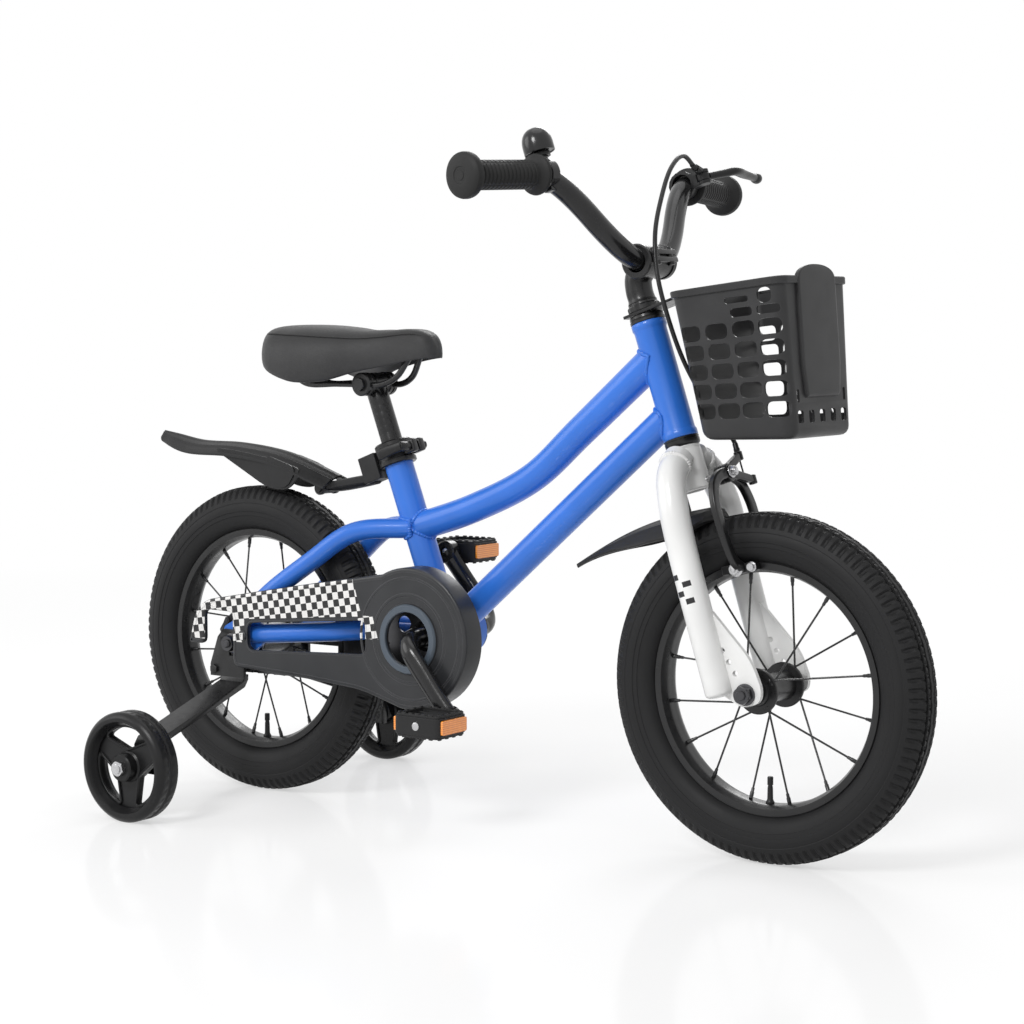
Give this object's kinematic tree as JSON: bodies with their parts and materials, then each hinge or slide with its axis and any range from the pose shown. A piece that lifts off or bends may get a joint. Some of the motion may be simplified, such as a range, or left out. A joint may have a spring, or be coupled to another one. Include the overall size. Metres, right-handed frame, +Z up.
{
  "type": "children's bicycle with training wheels",
  "caption": "Small step-over children's bicycle with training wheels, front basket, chain guard, mudguards, padded saddle and a hand brake.",
  "frame": {"origin": "the middle of the rear tyre's flat patch on the ground", "axes": "+X forward along the ground, +Y to the rider's left, +Z up"},
  "size_m": [1.023, 0.5012, 0.7339],
  "materials": {
    "blue_paint": "glossy bright blue enamel",
    "white_paint": "glossy white enamel",
    "black_paint": "satin black paint",
    "black_plastic": "fine-grained moulded plastic",
    "tyre_rubber": "matte moulded tread",
    "grip_rubber": "soft ribbed rubber",
    "saddle_cover": "matte grained synthetic cover",
    "steel": "bright plated steel",
    "amber_reflector": "clear orange prismatic plastic"
  },
  "bodies": {
    "frame": {"frame": "blue_paint", "upper_headset_cup": "black_paint", "lower_headset_cup": "black_paint", "bottom_bracket_cup_right": "black_paint", "bottom_bracket_cup_left": "black_paint", "seat_clamp": "black_paint", "chain_guard": "black_plastic", "chain": "steel", "rear_axle": "steel", "rear_mudguard": "black_plastic", "rear_mudguard_arm": "black_plastic", "training_bracket_right": "black_paint", "training_bracket_left": "black_paint", "training_axle_right": "steel", "training_axle_left": "steel", "coaster_arm": "black_paint"},
    "seat": {"seat_post": "black_paint", "saddle_clamp": "black_paint", "saddle_rails": "steel", "saddle": "saddle_cover"},
    "seat_lever": {"seat_clamp_lever": "black_plastic"},
    "crankset": {"crank": "black_paint", "chainring": "black_paint", "pedal_spindle_right": "steel", "pedal_spindle_left": "steel"},
    "right_pedal": {"pedal_right": "black_plastic", "pedal_reflector_right_front": "amber_reflector", "pedal_reflector_right_rear": "amber_reflector"},
    "left_pedal": {"pedal_left": "black_plastic", "pedal_reflector_left_front": "amber_reflector", "pedal_reflector_left_rear": "amber_reflector"},
    "rear_wheel": {"rear_tyre": "tyre_rubber", "rear_rim": "black_paint", "rear_hub": "black_paint", "rear_sprocket": "black_paint", "rear_valve": "grip_rubber"},
    "right_training_wheel": {"training_wheel_right": "black_plastic"},
    "left_training_wheel": {"training_wheel_left": "black_plastic"},
    "steering": {"fork": "white_paint", "headset_locknut": "black_paint", "stem": "black_paint", "handlebar": "black_paint", "grip_right": "grip_rubber", "grip_left": "grip_rubber", "basket": "black_plastic", "basket_bracket": "black_paint", "front_mudguard": "black_plastic", "front_axle": "steel", "brake_cable": "black_plastic", "brake_lever_mount": "black_plastic", "brake_bolt": "steel", "bell": "black_plastic"},
    "front_wheel": {"front_tyre": "tyre_rubber", "front_rim": "black_paint", "front_hub": "black_paint", "front_valve": "grip_rubber"},
    "brake_lever": {"brake_lever": "black_plastic"},
    "left_brake_arm": {"brake_arm_left": "black_paint"},
    "right_brake_arm": {"brake_arm_right": "black_paint"},
    "bell_lever": {"bell_lever": "black_plastic"}
  },
  "joints": [
    {"name": "steering_turn", "type": "hinge", "parent": "frame", "child": "steering", "pos_m": [0.54331, 0, 0.48285], "axis": [-0.3206, 0, 0.9472], "range_deg": [-60, 60]},
    {"name": "front_wheel_spin", "type": "hinge", "parent": "steering", "child": "front_wheel", "pos_m": [0.669, 0, 0.177], "axis": [0, 1, 0], "continuous": true},
    {"name": "rear_wheel_spin", "type": "hinge", "parent": "frame", "child": "rear_wheel", "pos_m": [0, 0, 0.177], "axis": [0, 1, 0], "continuous": true},
    {"name": "crank_spin", "type": "hinge", "parent": "frame", "child": "crankset", "pos_m": [0.266, 0, 0.203], "axis": [0, 1, 0], "continuous": true},
    {"name": "right_pedal_spin", "type": "hinge", "parent": "crankset", "child": "right_pedal", "pos_m": [0.33011, -0.118, 0.12495], "axis": [0, 1, 0], "continuous": true},
    {"name": "left_pedal_spin", "type": "hinge", "parent": "crankset", "child": "left_pedal", "pos_m": [0.20189, 0.118, 0.28105], "axis": [0, 1, 0], "continuous": true},
    {"name": "right_training_wheel_spin", "type": "hinge", "parent": "frame", "child": "right_training_wheel", "pos_m": [0, -0.225, 0.0605], "axis": [0, 1, 0], "continuous": true},
    {"name": "left_training_wheel_spin", "type": "hinge", "parent": "frame", "child": "left_training_wheel", "pos_m": [0, 0.225, 0.0605], "axis": [0, 1, 0], "continuous": true},
    {"name": "seat_height", "type": "slide", "parent": "frame", "child": "seat", "axis": [-0.3502, 0, 0.9367], "range_m": [-0.02, 0.04]},
    {"name": "seat_lever_turn", "type": "hinge", "parent": "frame", "child": "seat_lever", "pos_m": [0.21973, 0, 0.4067], "axis": [0, 1, 0], "range_deg": [0, 90]},
    {"name": "brake_lever_pull", "type": "hinge", "parent": "steering", "child": "brake_lever", "pos_m": [0.50994, 0.13119, 0.69537], "axis": [-0.3206, 0, 0.9472], "range_deg": [0, 15], "stiffness_Nm_per_rad": 1.2},
    {"name": "left_brake_arm_swing", "type": "hinge", "parent": "steering", "child": "left_brake_arm", "pos_m": [0.61063, 0, 0.38845], "axis": [0.9472, 0, 0.3206], "range_deg": [-1.2, 0]},
    {"name": "right_brake_arm_swing", "type": "hinge", "parent": "steering", "child": "right_brake_arm", "pos_m": [0.6182, 0, 0.39101], "axis": [0.9472, 0, 0.3206], "range_deg": [0, 1.2]},
    {"name": "bell_lever_flick", "type": "hinge", "parent": "steering", "child": "bell_lever", "pos_m": [0.47986, -0.12899, 0.70419], "axis": [-0.3206, 0, 0.9472], "range_deg": [-25, 0], "stiffness_Nm_per_rad": 0.02}
  ],
  "couplings": [
    {"joint": "crank_spin", "follows": "rear_wheel_spin", "ratio": 0.57143},
    {"joint": "left_brake_arm_swing", "follows": "brake_lever_pull", "ratio": -0.074},
    {"joint": "right_brake_arm_swing", "follows": "brake_lever_pull", "ratio": 0.074}
  ]
}
